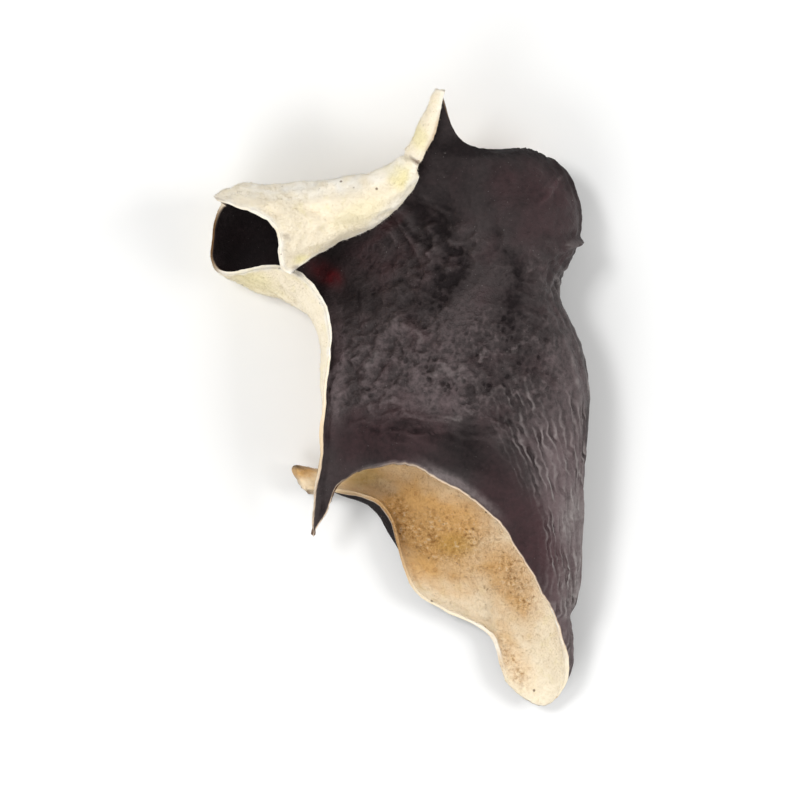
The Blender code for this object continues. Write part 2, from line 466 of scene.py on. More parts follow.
@dataclass(frozen=True)
class Crease:
    """A line pressed in (or raised, with a negative depth) along points in plan view, in mm."""

    points: tuple[Point2, ...]
    depth: float
    width: float

    def relief(self, place: np.ndarray) -> np.ndarray:
        """Minus depth times exp of minus the squared distance to the line over the width.

        Args:
            place: points in millimetres, (..., 3).

        Returns:
            Heights in millimetres, (...).
        """
        nearest = np.full(place.shape[:-1], np.inf)
        for start, end in zip(self.points[:-1], self.points[1:]):
            begin, way = np.array(start), np.array(end) - np.array(start)
            away = place[..., :2] - begin
            share = np.clip(np.sum(away * way, axis=-1) / np.dot(way, way), 0.0, 1.0)
            nearest = np.minimum(nearest, np.linalg.norm(away - share[..., None] * way, axis=-1))
        return -self.depth * np.exp(-(nearest / self.width)**2)


# ---- Colours and materials ----
def linear(code: str) -> tuple[float, float, float, float]:
    """The linear red, green, blue and alpha of an sRGB hex colour, given as a hash and six digits."""
    values = [int(code[place:place + 2], 16) / 255.0 for place in (1, 3, 5)]
    return (*(v / 12.92 if v <= 0.04045 else ((v + 0.055) / 1.055)**2.4 for v in values), 1.0)


def add(tree: bpy.types.NodeTree, kind: str, *inputs: object, out: str = "", **named: object) -> object:
    """Adds one shader node with its settings and links.

    Args:
        tree: the material's node tree.
        kind: the node's type name without its prefix, then its operation if it has one.
        inputs: a value or an output socket for each input in use, in order.
        out: name of the output to hand back, or nothing for the first one in use.
        named: further inputs by name, and the node's own settings.

    Returns:
        The node's output socket.
    """
    kind, *operation = kind.split()
    node = tree.nodes.new("ShaderNode" + kind)
    for name, value in {**dict(zip(("operation",), operation)), **named}.items():
        if name not in node.inputs:
            setattr(node, name, value)
    fed = list(zip([socket for socket in node.inputs if socket.enabled], inputs))
    fed += [(node.inputs[name], value) for name, value in named.items() if name in node.inputs]
    for socket, value in fed:
        if isinstance(value, bpy.types.NodeSocket):
            tree.links.new(value, socket)
        else:
            socket.default_value = value
    return next(socket for socket in node.outputs if socket.enabled and out in ("", socket.name))


def blank(name: str) -> tuple[bpy.types.Material, bpy.types.Node]:
    """Makes a node material with nothing set.

    Args:
        name: the material's name.

    Returns:
        The material and its shader.
    """
    material = bpy.data.materials.new(name)
    material.use_nodes = True
    return material, material.node_tree.nodes["Principled BSDF"]


@dataclass(frozen=True)
class DriedSkin:
    """Spore-bearing skin of a dried jelly fungus: a shrunken gel film, horny and purplish black.

    It shrank as it dried, so it is finely grained, shows a dull broad shine on its folds and a thin grey
    bloom on what stands up.  Its crests also carry painted highlights and painted sheen, and its furrows
    and pits painted shade.
    """

    name: str = "dried_gel_skin"
    # Greys from the darkest to the lightest level; the level carries painted shade and highlights.
    deep: str = "#150d0e"
    body: str = "#393030"
    raised: str = "#6b5d5e"
    plum: str = "#45292d"
    wine: str = "#6c1018"
    bloom_and_sheen: str = "#a39d9a"
    felt_edge: str = "#ecd3b8"
    ior: float = 1.45
    specular: float = 0.28
    roughness: float = 0.48
    grain_mm: float = 0.45
    pore_mm: float = 0.17
    pit_mm: float = 0.75
    patch_mm: float = 2.4
    drift_mm: float = 0.5
    bump_mm: float = 0.14
    crest_gap_mm: float = 0.80
    crest_run_mm: float = 2.7
    crest_wave_mm: float = 1.5
    crest_bend_mm: float = 1.6
    crest_mm: float = 0.12

    def crests(self, put: Callable[..., object]) -> object:
        """Thin wavy crests along the sheet's courses: the tops of a bent sine, broken up by noise.

        Args:
            put: adds a node to the material.

        Returns:
            Output socket: 1 on a crest, -1 in a furrow, times the sheet's own ridged field.
        """
        across, along, ridged = (put("Attribute", out="Fac", attribute_name=name)
                                 for name in ("course_across", "course_along", "ridged"))
        wave = put("TexNoise", put("TexCoord", out="Object"), 1.0 / (self.crest_wave_mm * MM), 1.0)
        waved = put("Math MULTIPLY_ADD", wave, self.crest_bend_mm, across)
        phase = put("Math MULTIPLY", waved, math.tau / self.crest_gap_mm)
        cells = put("VectorMath MULTIPLY", put("CombineXYZ", across, along),
                    (0.8 / self.crest_gap_mm, 1.0 / self.crest_run_mm, 1.0))
        kept = put("MapRange", put("TexNoise", cells, 1.0, 1.0), 0.38, 0.66)
        sine = put("Math MULTIPLY", put("Math SINE", phase), kept)
        return put("Math MULTIPLY", sine, ridged)

    def material(self) -> bpy.types.Material:
        """The node material: tone by the sheet's own fields and noise, grain by bump.

        Returns:
            The material.
        """
        material, shader = blank(self.name)
        put = partial(add, material.node_tree)
        place = put("TexCoord", out="Object")
        tone, wine, plum, dust_and_sheen, edge, pitted = (put("Attribute", out="Fac", attribute_name=name)
                                               for name in ("tone", "wine", "plum", "dust_and_sheen", "edge", "pitted"))
        grain = put("TexNoise", place, 1.0 / (self.grain_mm * MM), 3.0)
        pores = put("TexNoise", place, 1.0 / (self.pore_mm * MM), 2.0)
        patches = put("TexNoise", place, 1.0 / (self.patch_mm * MM))
        drift = put("TexNoise", place, 1.0 / (self.drift_mm * MM), out="Color")
        moved = put("VectorMath MULTIPLY_ADD", drift, (0.8 * self.drift_mm * MM,) * 3, place)
        # Pits are the middles of bent cells, deeper in patches; they are painted darker, as painted shade.
        hollow = put("MapRange", put("TexVoronoi", moved, 1.0 / (self.pit_mm * MM)), 0.12, 0.44, 1.0, 0.0)
        patched = put("Math MULTIPLY", hollow, put("MapRange", patches, 0.42, 0.58, 0.1, 1.0))
        pits = put("Math MULTIPLY", patched, pitted)
        # The level of grey: tone, grain, painted shade in pits and furrows, painted highlights on crests.
        grained = put("MapRange", grain, 0.3, 0.7, -0.20, 0.20)
        spread = put("Math MULTIPLY", grained, put("MapRange", pitted, 0.0, 1.0, 0.45))
        folds = self.crests(put)
        crests = put("MapRange", folds, 0.0, 0.95)
        crested = put("Math MULTIPLY_ADD", folds, 0.27, put("Math ADD", tone, spread))
        crested = put("Math MULTIPLY_ADD", crests, 0.14, crested)
        level = put("Math MULTIPLY_ADD", pits, -0.38, crested)
        # Grey bloom and painted highlight on what stands up, plus dust and painted sheen, broken by the
        # grain.
        bloom_and_painted_light = put("Math MULTIPLY_ADD", crests, 0.62, dust_and_sheen)
        bloom_and_painted_light = put("Math MULTIPLY", bloom_and_painted_light, put("MapRange", grain, 0.38, 0.60, 0.5))
        colour = linear(self.deep)
        for share, code in (
            (put("MapRange", level, 0.0, 0.5), self.body),
            (put("MapRange", level, 0.5), self.raised),
            (put("Math MULTIPLY", plum, put("MapRange", level, 0.0, 0.5, 0.2)), self.plum),
            (wine, self.wine),
            (put("MapRange", pores, 0.72, 0.80, 0.0, 0.5), self.bloom_and_sheen),
            (bloom_and_painted_light, self.bloom_and_sheen),
            (edge, self.felt_edge),
        ):
            colour = put("Mix", share, colour, linear(code), data_type="RGBA")
        # Furrows are rougher than crests.
        rough = put("MapRange", grain, 0.3, 0.7, self.roughness - 0.08, self.roughness + 0.12)
        rough = put("Math ADD", rough, put("MapRange", level, 0.0, 0.45, 0.34, 0.0))
        height = put("Math SUBTRACT", put("Math MULTIPLY_ADD", pores, 0.5, grain), pits)
        folded = put("Bump", Strength=1.0, Distance=self.crest_mm * MM, Height=folds)
        bump = put("Bump", Strength=0.9, Distance=self.bump_mm * MM, Height=height, Normal=folded)
        for name, source in (("Base Color", colour), ("Roughness", rough), ("Normal", bump)):
            material.node_tree.links.new(source, shader.inputs[name])
        shader.inputs["IOR"].default_value = self.ior
        shader.inputs["Specular IOR Level"].default_value = self.specular
        return material


@dataclass(frozen=True)
class DriedFelt:
    """Sterile face of a dried jelly fungus: a mat of short, colourless hairs over tan flesh.

    The hairs scatter light, so it is cream and fully matte where they stand, and tan with brown grains
    where they are thin or rubbed off.  Inside the fold part of the tan is painted shade, and lit margins and
    the horn's upper side carry white painted highlights.
    """

    name: str = "dried_hair_felt"
    cream: str = "#faeed5"
    white: str = "#fffaef"
    yellow: str = "#f0e5b0"
    tan: str = "#dfb272"
    ochre: str = "#c39840"
    brown: str = "#96662c"
    stain: str = "#5a3818"
    ior: float = 1.45
    roughness: float = 0.9
    sheen: float = 0.2
    fibre_mm: float = 0.12
    grain_mm: float = 0.34
    fleck_mm: float = 1.5
    mat_mm: float = 0.9
    bump_mm: float = 0.09

    def material(self) -> bpy.types.Material:
        """The node material: cream to tan by the sheet's own fields, brown grains, fibrous bump.

        Returns:
            The material.
        """
        material, shader = blank(self.name)
        put = partial(add, material.node_tree)
        place = put("TexCoord", out="Object")
        tan, speck, lip, stain, yellow = (put("Attribute", out="Fac", attribute_name=name)
                                          for name in FELT_FIELDS)
        mat = put("TexNoise", place, 1.0 / (self.mat_mm * MM), 3.0)
        fibre = put("TexNoise", place, 1.0 / (self.fibre_mm * MM), 2.0)
        grain = put("TexNoise", place, 1.0 / (self.grain_mm * MM), 3.0)
        cells = put("TexVoronoi", place, 1.0 / (self.fleck_mm * MM))
        faded = put("Math MAXIMUM", put("MapRange", mat, 0.52, 0.72, 0.0, 0.3), yellow)
        few = put("MapRange", mat, 0.50, 0.56)
        speck = put("Math MULTIPLY", speck, put("MapRange", mat, 0.40, 0.58, 0.35))
        colour = linear(self.cream)
        for share, code in (
            (faded, self.yellow),
            (tan, self.tan),
            (put("Math MULTIPLY", tan, yellow), self.ochre),
            (put("Math MULTIPLY", put("MapRange", grain, 0.46, 0.68, 0.0, 0.95), speck), self.brown),
            (put("Math MULTIPLY", put("MapRange", grain, 0.44, 0.34, 0.0, 0.4), speck), self.cream),
            (put("Math MULTIPLY", put("MapRange", fibre, 0.55, 0.64, 0.0, 0.6), speck), self.brown),
            # Painted highlight on lit margins and the horn's upper side.
            (lip, self.white),
            (put("Math MULTIPLY", put("MapRange", cells, 0.05, 0.11, 0.8, 0.0), few), self.stain),
            (stain, self.stain),
        ):
            colour = put("Mix", share, colour, linear(code), data_type="RGBA")
        height = put("Math MULTIPLY_ADD", fibre, 0.4, grain)
        bump = put("Bump", Strength=0.8, Distance=self.bump_mm * MM, Height=height)
        for name, source in (("Base Color", colour), ("Normal", bump)):
            material.node_tree.links.new(source, shader.inputs[name])
        for name, value in (("Roughness", self.roughness), ("IOR", self.ior), ("Sheen Weight", self.sheen)):
            shader.inputs[name].default_value = value
        return material


# ---- Meshes ----
def make_object(name: str, vertices: np.ndarray, faces: np.ndarray) -> bpy.types.Object:
    """A mesh object from arrays, in the scene, at the origin.

    Args:
        name: the piece's name.
        vertices: points in millimetres, (n, 3).
        faces: vertex numbers, (m, 3) or (m, 4).

    Returns:
        The object, shaded smooth.
    """
    corners = faces.shape[1]
    mesh = bpy.data.meshes.new(name)
    mesh.vertices.add(len(vertices))
    mesh.vertices.foreach_set("co", (vertices * MM).astype(np.float32).ravel())
    mesh.loops.add(faces.size)
    mesh.loops.foreach_set("vertex_index", faces.astype(np.int32).ravel())
    mesh.polygons.add(len(faces))
    mesh.polygons.foreach_set("loop_start", np.arange(0, faces.size, corners, dtype=np.int32))
    mesh.update(calc_edges=True)
    mesh.validate()
    mesh.shade_smooth()
    piece = bpy.data.objects.new(name, mesh)
    bpy.context.scene.collection.objects.link(piece)
    return piece


def set_field(piece: bpy.types.Object, name: str, values: np.ndarray) -> None:
    """Stores one number for each vertex as an attribute of the piece's mesh."""
    attribute = piece.data.attributes.new(name, "FLOAT", "POINT")
    attribute.data.foreach_set("value", values.astype(np.float32).ravel())


@dataclass
class FoldedSheet:
    """The whole fungus: one thin sheet, folded over and rolled up at one corner."""

    name: str = "folded_sheet"
    cage: Cage = field(default_factory=Cage)
    thickness: float = 0.8
    margin_thickness: float = 0.40
    margin_taper: float = 2.0
    margin_relief: float = 0.25
    margin_fade: float = 0.8
    table_gap: float = 0.004
    rim_steps: int = 6
    rim_roundness: float = 0.9
    across: tuple[Run, ...] = ((0, 5, 40), (5, 7.5, 44), (7.5, 11, 68), (11, 12.8, 34), (12.8, 13, 5))
    horn_across: tuple[Run, ...] = ((13, 16.8, 36), (16.8, 17, 4))
    front_along: tuple[Run, ...] = ((0, 0.2, 8), (0.2, 2, 38), (2, 6, 84))
    back_along: tuple[Run, ...] = ((6, 9.9, 82), (9.9, 10, 4))
    spur_rib: float = 7.15
    spur_height: float = 0.8
    waist: Area = Area(15.8, 10.6, 2.6, 2.8, 0, 0.5)
    # The share of a crease's depth painted into the skin's tone: painted shade in pressed creases, painted
    # highlight on raised ones.
    crease_shade: float = 0.6
    dark_seed: int = 31
    wall_seed: int = 46
    pale_seed: int = 81
    ragged: float = 0.22
    notch_rib: float = 9.0
    notch_depth: float = 1.05
    pulls: tuple[Pull, ...] = table(
        Pull,
        # The mouth's upper left corner, its lower left one, and the lip that hangs over the flap.
        (-15.6, 18.2, 8, 4, -1.8, 0.8), (-16.7, 13, 4.8, 2.4, -0.6, -0.3),
        (-9.9, 12.7, 12, 1.6, -0.8, -0.7, -0.5),
        # The tongue's lower side and its corner, and the front spike, which is broader at its left.
        (-8.6, -8, 2.6, 1.3, 0, -0.6), (-10.2, -8.2, 2.4, 1.1, 0.9, 0), (-9, -11.4, 6.3, 1.8, -0.75, 0),
        (12.4, 23.4, 6.6, 3, 0.3, 0.5), (-0.8, -12.8, 0.9, 1.7, -0.4, -0.4),
        # The arch's corner and its rim, the roof's left margin and the horn's lower margin.
        (-4.8, -6.6, 8.8, 1.5, 0.25, -0.55), (-2.8, -6.1, 10.2, 1.4, 0.1, -0.35),
        (1.4, -6.3, 10.8, 2.5, 0, 0.75), (6.4, -8.4, 10.8, 1.9, 0, 0.18),
        (11.4, -13.8, 8.5, 2.6, -0.34, -0.05), (13.8, -17, 6.8, 2.8, -0.3, -0.15),
        (-6.8, 3, 10.5, 3.6, -0.35, 0), (-7, -2.6, 8.8, 2.4, -0.32, 0),
        # The gutter's lower margin, its corner at the spoon, and the wall beside the spoon.
        (1.4, -17.2, 2.6, 2.2, -0.15, -0.35), (5.2, -19.4, 2.4, 3.2, -0.1, -0.85),
        (8, -20.9, 2.3, 1.5, 0, -0.4), (16.2, -20.1, 5, 1.3, -0.75, 0), (16, -21.8, 4.8, 1.8, -0.25, 0),
        # The flap's outer side.
        (-9.2, 7.4, 6, 2.6, 0.6, 0.5), (-7.9, 4.8, 8.2, 2, 0.5, 0), (-11.2, 8.7, 3.6, 2.2, 0, 0.4),
        # The dark band under the gutter's rim, the back edge beside the spike and the lobe's corner.
        (-2.6, -10.2, 1.1, 2.4, 0, 0.62), (5.6, 25.2, 10.5, 2.2, -0.15, -0.35),
        (14.2, 22.4, 5.5, 2.4, 0.2, 0.3), (-5, 15, 8.5, 3.2, -0.1, 0.28), (17.2, -22.2, 2.6, 2.1, -0.9, 0),
        (-8.9, -8.4, 7.6, 1.8, -0.85, 0), (-6, -11, 6.3, 1.4, 0.5, 0),
    )
    dark_wrinkles: tuple[Wrinkles, ...] = table(
        Wrinkles,
        # Thin wavy folds down the right side: slanting from the crown, then along the wall.
        (12.6, -5.2, 7.8, 2.8, 118, 0.3, 64, 0.6, 3.6, 0.6, Crumple.RIDGED, Laid.SHEET),
        (16.6, -9, 16, 1.9, 91, 0.34, 84, 0.6, 3.8, 0.6, Crumple.RIDGED, Laid.SHEET),
        (14.8, -19, 8, 3, 100, 0.3, 88, 0.6, 4, 0.6, Crumple.RIDGED, Laid.SHEET),
        # Fan of low folds that leads into them.
        (9, -3, 4.8, 2.2, -30, 0.42, -28, 0.44, 2.4, 0.6, Crumple.RIDGED),
        # Small lumps and pits over the middle.
        (1.6, 3.8, 9, 5, 8, 0.46, 35, 0.4, 0.6), (9.8, 3, 6.4, 5, 0, 0.46, 75, 0.4, 0.65),
        (3, 10.6, 8.6, 3.6, 10, 0.42, 60, 0.42, 0.8, 0.55), (4, 5, 11, 7, 0, 0.34, 20, 1.1, 1.6, 0.15),
        # Folds that run from the horn's margin down to the middle.
        (2.4, 15, 6, 3.6, -45, 0.46, -44, 0.6, 3.2, 0.8, Crumple.RIDGED),
        (4, 13.4, 4.6, 3.4, -45, 0.44, 20, 0.36, 0.6, 0.9),
        # Folds drawn together at the waist.
        (14.8, 10.8, 4.4, 4.6, 0, 0.26, 150, 0.6, 2.4, 0.6, Crumple.RIDGED),
        (10.6, 10.6, 4, 4.4, 0, 0.24, 88, 0.7, 3.2, 0.6, Crumple.RIDGED),
        # Ripples across the band above the arch.
        (1.8, -2.2, 8, 1.9, -6, 0.34, -6, 0.42, 1.9, 0.6, Crumple.RIDGED),
        (4.6, -6.4, 9, 2.2, -22, 0.16, -20, 0.5, 3.6), (2.4, -2, 5.4, 1.8, -6, 0.3, -4, 0.32, 1.3, 0.9),
        # The back lobe's faint lines, and the spike's.
        (12.6, 18.6, 4.6, 4.2, 0, 0.16, 50, 0.5, 2.6), (8.8, 18, 2.2, 5, 0, 0.2, 88, 0.5, 2.8),
        (5.6, 21.6, 4, 5, 0, 0.16, 100, 0.8, 3.5),
    )
    wall_folds: Wrinkles = Wrinkles(15, -4, 60, 60, 0, 0.34, 78, 0.8, 3.4, 0.6, Crumple.RIDGED, Laid.SHEET)
    creases: tuple[Crease, ...] = table(
        Crease,
        (((1.7, 18.4), (3.4, 16.7), (4.8, 15.5), (5.8, 15)), 0.46, 0.7),
        (((8.6, 21.4), (8.5, 18.4), (9, 15.2)), 0.12, 0.5),
        (((9, 15.2), (10.4, 12.4), (10.7, 9.8), (10.2, 7.6)), 0.36, 0.85),
        (((6.1, 13.2), (5.6, 11.8), (4.6, 9.8)), 0.32, 0.9),
        (((-0.2, 17.4), (1.6, 14.8), (3.8, 12.6)), -0.3, 0.5),
        (((-1.6, 15.6), (0.4, 13.4), (1.6, 11.4)), -0.18, 0.45),
        (((-5.4, 9.9), (-1, 9.4), (2.6, 9), (4.6, 9.6)), 0.14, 0.8),
        (((11.4, 7.2), (13.2, 6.6), (15, 6.4)), 0.16, 0.6),
        (((-6.5, 5), (-6.75, -1), (-7.2, -6.5), (-7.7, -11)), 0.26, 0.26),
        (((-3.6, -2.9), (0.4, -2.3), (2.3, -2.3), (5.3, -3.8), (7.2, -4.7)), 0.18, 0.45),
        (((-5, -0.4), (-2.6, -1.2), (0.4, -0.9)), 0.12, 0.4),
        (((10.6, 15.5), (13.4, 15.2), (16.8, 15.4)), 0.18, 0.55), (((13.7, 19.5), (15, 20.8)), -0.12, 0.22),
        (((13.2, 18.3), (14.4, 19.8)), -0.1, 0.2),
    )
    pale_wrinkles: tuple[Wrinkles, ...] = table(
        Wrinkles,
        # Lumps and long folds on the horn, and tighter ones by its mouth.
        (-7, 18, 12, 5, 12, 0.34, 15, 1.3, 1.9), (-5, 18, 10, 4, 20, 0.2, 24, 0.9, 4, 0.6, Crumple.RIDGED),
        (-14.2, 18.6, 4, 2.6, 0, 0.3, 70, 0.8, 1.5),
        # The flap below the mouth.
        (-11.6, 9.6, 6, 3, -25, 0.2, -40, 0.8, 2),
        # The gutter's grains, and the spoon's.
        (5, -13.6, 10, 6, -40, 0.14, 10, 0.5, 0.6), (10.6, -24.6, 3.4, 2.2, -60, 0.24, 40, 0.6, 0.7),
    )
    pale_creases: tuple[Crease, ...] = table(
        Crease,
        (((0.5, 22.6), (1, 22.1), (1.5, 22), (2, 21.6)), 0.32, 0.24),
        (((-15.6, 19.8), (-15.9, 18.9)), 0.22, 0.3),
        (((-8.6, 17.6), (-6.4, 16.6), (-4.6, 16.4)), 0.16, 0.45),
    )
    gutter_crease: Crease = Crease(((8.3, -21.6), (8.7, -19.8), (9.1, -18.2), (9.9, -17)), 0.42, 0.32)
    thin_margins: tuple[Area, ...] = table(
        Area,
        (-17.4, 15.4, 1.6, 3.6, 0, 1), (-7, 2, 1.4, 7, 0, 0.5), (-8.2, -12.5, 0.9, 0.9, 0, -1.4),
        (2, -15.6, 9, 4, -46, 0.7), (11.4, -15.6, 7.5, 2.2, -60, -0.5),
    )
    # Painted light: the felt is whitened along these margins, where they turn down into shade.
    bright_margins: tuple[Area, ...] = table(
        Area,
        (10.8, -14.8, 8, 2.4, -58, 0.9), (15.2, -22.4, 1.6, 4, 0, 0.5), (6.6, -19.8, 6, 1.8, -38, 0.6),
        (9, -23.4, 1.4, 3, 0, 0.5),
    )
    bare_margins: tuple[Area, ...] = table(
        Area,
        # Where the margin shows no pale line: the mouth's left side, the arch's left half.
        (-17.6, 15.2, 1.5, 3.2, 0, 1), (-2.6, -6.8, 4.6, 2.2, -4, 0.9), (0.2, -12.2, 4.4, 3, -56, 0.5),
        (2.6, 24.2, 2.6, 0.9, 66, 0.6),
    )
    lined_margins: tuple[Area, ...] = table(
        Area,
        # The pinkish cream line down the roof's left side.
        (-7.4, -2, 1.8, 10.6, 4, 1),
    )
    dark_margins: tuple[Area, ...] = table(
        Area,
        (-17.6, 15.2, 1.5, 3.2, 0, 0.45), (-8.2, -12.7, 1.1, 0.8, 0, 1),
    )
    yellow_areas: tuple[Area, ...] = table(
        Area,
        (0.1, 20.7, 1.2, 1.3, 50, 0.9), (-9.2, 13, 0.9, 0.6, 0, 0.8), (-13.6, 11.2, 2.2, 1.1, -10, 0.7),
        (-11.6, 9.9, 1.4, 0.8, 0, 0.5), (1.9, 24.2, 0.7, 1.2, 0, 0.7), (-4, 17.4, 3, 0.9, 25, 0.35),
    )
    horn_highlight_areas: tuple[Area, ...] = table(
        Area,
        # Painted highlight: the horn's lit upper side and the rim of its lower right side.
        (-11, 19.3, 6, 1.2, 2, 0.75), (-3, 20.9, 4.6, 1.3, 20, 0.75), (0.9, 20, 0.45, 2.2, -18, 0.8),
        (-1.6, 17.4, 3.2, 0.45, 42, 0.6),
    )
    ochre_areas: tuple[Area, ...] = table(
        Area,
        (-3.5, -7.3, 1.8, 0.9, 10, 0.8), (5.2, -13.6, 1.9, 1.1, 0, 0.6),
    )
    stains: tuple[Area, ...] = table(
        Area,
        # The brown crack at the horn's notch, the dirt by the mouth's lower corner and on the tongue's
        # corner, and a painted shadow along the tongue's lower edge.
        (1.3, 22.05, 0.95, 0.17, -34, 0.8), (-10.7, 15.1, 0.3, 0.22, 0, 0.45),
        (-9.7, 12.2, 0.5, 0.3, 0, 0.5), (-10.1, -6, 0.6, 0.4, 0, 0.6), (-8.9, -8.7, 0.9, 0.22, 0, 0.8),
        # Browner flesh low in the gutter, where the hairs are rubbed off.
        (1.5, -12, 2.4, 2.8, 0, 0.15), (2.8, -15, 3.6, 1.6, -30, 0.08), (10.9, -17.4, 1.8, 1, -60, 0.08),
    )
    pitted_areas: tuple[Area, ...] = table(
        Area,
        (2, 3.6, 11, 5.6, 6, 0.9), (9.6, 3, 5.4, 5.6, 0, 0.7), (3, 12, 8, 4.2, 0, 0.7),
        (12.6, 10.8, 3.6, 3.8, 0, 0.5), (7.8, 2.2, 2.4, 1.8, 0, 0.3), (6.2, 8.4, 4.4, 1.7, 55, -0.9),
    )
    smooth_areas: tuple[Area, ...] = table(Area, (6.2, 8.4, 4.4, 1.7, 55, 0.8), (3, 0.2, 2.6, 0.9, -6, 0.5))
    # Tone of the dark skin by place: partly its own uneven colour, partly painted light and shade.
    tones: tuple[Area, ...] = table(
        Area,
        (1, 3, 8, 5, 0, 0.17), (1.9, 1.9, 1.3, 1.1, 0, 0.16), (2.9, -0.5, 4, 1.4, -6, 0.14),
        # (15.4, -8): painted sheen down the right wall.
        (15.4, -8, 17, 3, 92, 0.28), (3.2, 21.8, 5, 6.5, 0, -0.22), (4.4, 14.2, 3.2, 4.4, 20, -0.06),
        # Painted shade in narrow folds from the horn's lower margin, painted highlights on the crests
        # between.
        (2.4, 17, 2, 0.3, -47, -0.2), (4.6, 15.3, 1.2, 0.34, -22, -0.2), (3.9, 18, 1.6, 0.22, -22, -0.16),
        (0.6, 16.3, 1.7, 0.24, -50, -0.24), (2.4, 14.4, 1.4, 0.22, -48, -0.2),
        (3.4, 17.1, 1.6, 0.22, -38, 0.22), (-0.2, 14.7, 2, 0.2, -42, 0.16), (1.5, 16, 1.5, 0.18, -48, 0.14),
        (6.4, 15, 1.2, 1.2, 0, 0.08), (5.6, 11.6, 1.5, 0.6, 55, -0.16), (-0.6, 12.6, 7, 3.2, 0, -0.12),
        # (1, -4.2): painted shade on the band above the arch, which faces away from the lamps.
        (12.4, 20.6, 5.5, 3, 0, -0.1), (1, -4.2, 9, 2.4, -8, -0.26), (-3.4, -4.8, 3.6, 2.6, 0, -0.06),
        # (-13.6, 15.2): painted shade inside the horn's mouth; (-6.1, 3): painted sheen on the roof's
        # turned-up margin.
        (10.8, -10.8, 8, 2.4, -58, -0.2), (-13.6, 15.2, 5, 5, 0, -0.5), (-6.1, 3, 1.2, 6.6, 0, 0.32),
        # (-6, 6.8): painted light on the dip beside the flap.
        (-6, 6.8, 0.9, 3.4, 8, 0.18), (3.4, 9.8, 3.4, 1.2, 35, -0.16), (10.6, 10.6, 1, 3.8, 0, -0.2),
        # (15.6, -15), (15.3, -18) and (13.8, -5.4): painted sheen on the right wall.
        (6.2, 8.4, 4.2, 1.6, 55, 0.1), (7.8, 2.2, 2.4, 1.8, 0, -0.1), (15.6, -15, 10, 2.2, 93, 0.4),
        (15.3, -18, 3.6, 1, 98, 0.16), (13.8, -5.4, 5.6, 2.4, 114, 0.12), (4.6, 11.5, 2.6, 1.8, 0, -0.08),
        (14.2, 20, 1.1, 0.2, 48, 0.26), (13.6, 19.9, 0.9, 0.18, 55, 0.2), (13.6, 18.9, 1.2, 0.2, 50, 0.2),
        # (8.4, 23.4) and (14.6, 21.4): painted shade along the back edge, where the lobe curves down.
        (12.6, 17.8, 4.2, 2.8, 0, -0.1), (8.4, 23.4, 5, 1.1, -4, -0.34), (14.6, 21.4, 3.4, 1.2, -46, -0.24),
        (-3.4, 9, 3.4, 1, -12, -0.16),
    )
    # Painted sheen near the arch's margin: a thin line and a broader band.
    arch_sheen_line: tuple[Area, ...] = table(Area, (0.8, -6.4, 3.8, 1.6, -6, 0.6))
    arch_sheen: tuple[Area, ...] = table(Area, (5.6, -8.2, 4.4, 2.4, -32, 0.6))
    plum_areas: tuple[Area, ...] = table(
        Area,
        (13, 18.6, 4.5, 4.5, 0, 0.55), (-1.6, -3.6, 6, 2.8, 0, 0.6), (11.4, -12, 8, 2.6, -60, 0.75),
        (-2, 12.8, 6, 2.2, 0, 0.3),
    )
    ridged_areas: tuple[Area, ...] = table(
        Area,
        (13.2, -4.6, 6.4, 2.8, 116, 0.85), (15.8, -14, 12, 2.3, 91, 0.95), (17, 0, 6, 2, 91, 0.3),
    )
    # Grey on high places: dust and specks at the waist and over the middle, painted sheen down the right
    # side.
    dust_and_sheen_areas: tuple[Area, ...] = table(
        Area,
        (15.6, 10.6, 2.2, 4, 0, 0.5), (16.4, 2, 2, 6, 0, 0.75), (8.6, 4, 6, 4, 0, 0.08),
        (1.6, -1.6, 6, 1.4, 0, 0.22), (1, 3.4, 7, 4, 0, 0.16), (16.4, -18, 2, 7, 0, 0.4),
    )
    # Painted sheen on the right wall's ridges.
    painted_wall_sheen: tuple[Area, ...] = table(
        Area,
        (15.9, -11.8, 3.4, 1.2, 94, 0.42), (15.5, -18.2, 3.6, 0.9, 98, 0.34),
    )
    wine_spots: tuple[Area, ...] = table(
        Area,
        (-6.1, 11.4, 0.7, 0.5, -20, 0.28), (-6.5, 11.6, 1.4, 0.9, -30, 0.32), (-7, 11.9, 2, 1.2, -40, 0.3),
        (-1, 16.2, 2.2, 0.6, 40, 0.14),
    )
    tan_areas: tuple[Area, ...] = table(
        Area,
        (0.6, -9, 7.5, 5, -20, 0.74), (3.4, -14, 6.6, 3.9, -36, 0.62), (10.8, -17, 4, 2.2, -60, 0.6),
        # (-2.6, -8.2) makes the gutter's far end less tan: painted light against the shade under the arch.
        (8, -18, 11, 5, -50, 0.14), (1.6, -16, 1.8, 1.4, 0, 0.3), (-2.6, -8.2, 2.2, 1.2, -20, -0.3),
        (7.8, -11.4, 2.6, 1.2, -45, 0.35), (11.4, -20.6, 2.4, 1.4, -60, 0.2),
        (9.5, -20.8, 2.4, 0.7, -76, 0.22), (10.4, -24, 3.6, 1.4, -60, 0.35),
        (-9.6, -6.6, 1.6, 0.8, 0, 0.95), (-8.8, -7.4, 2, 1.4, 0, 0.35),
    )
    speck_areas: tuple[Area, ...] = table(
        Area,
        (4.4, -12.9, 4.4, 2.4, -6, 0.9), (11.2, -17.2, 3.4, 1.8, -60, 0.9), (-0.1, -11, 3, 1.4, -62, 0.9),
        (10.4, -24.6, 3, 1, -60, 0.8), (6.4, -16, 3.6, 1.6, -20, 0.3), (-2.6, -7.6, 2, 1, 0, 0.3),
        (-9.7, -6.5, 1, 0.6, 0, 0.5),
    )

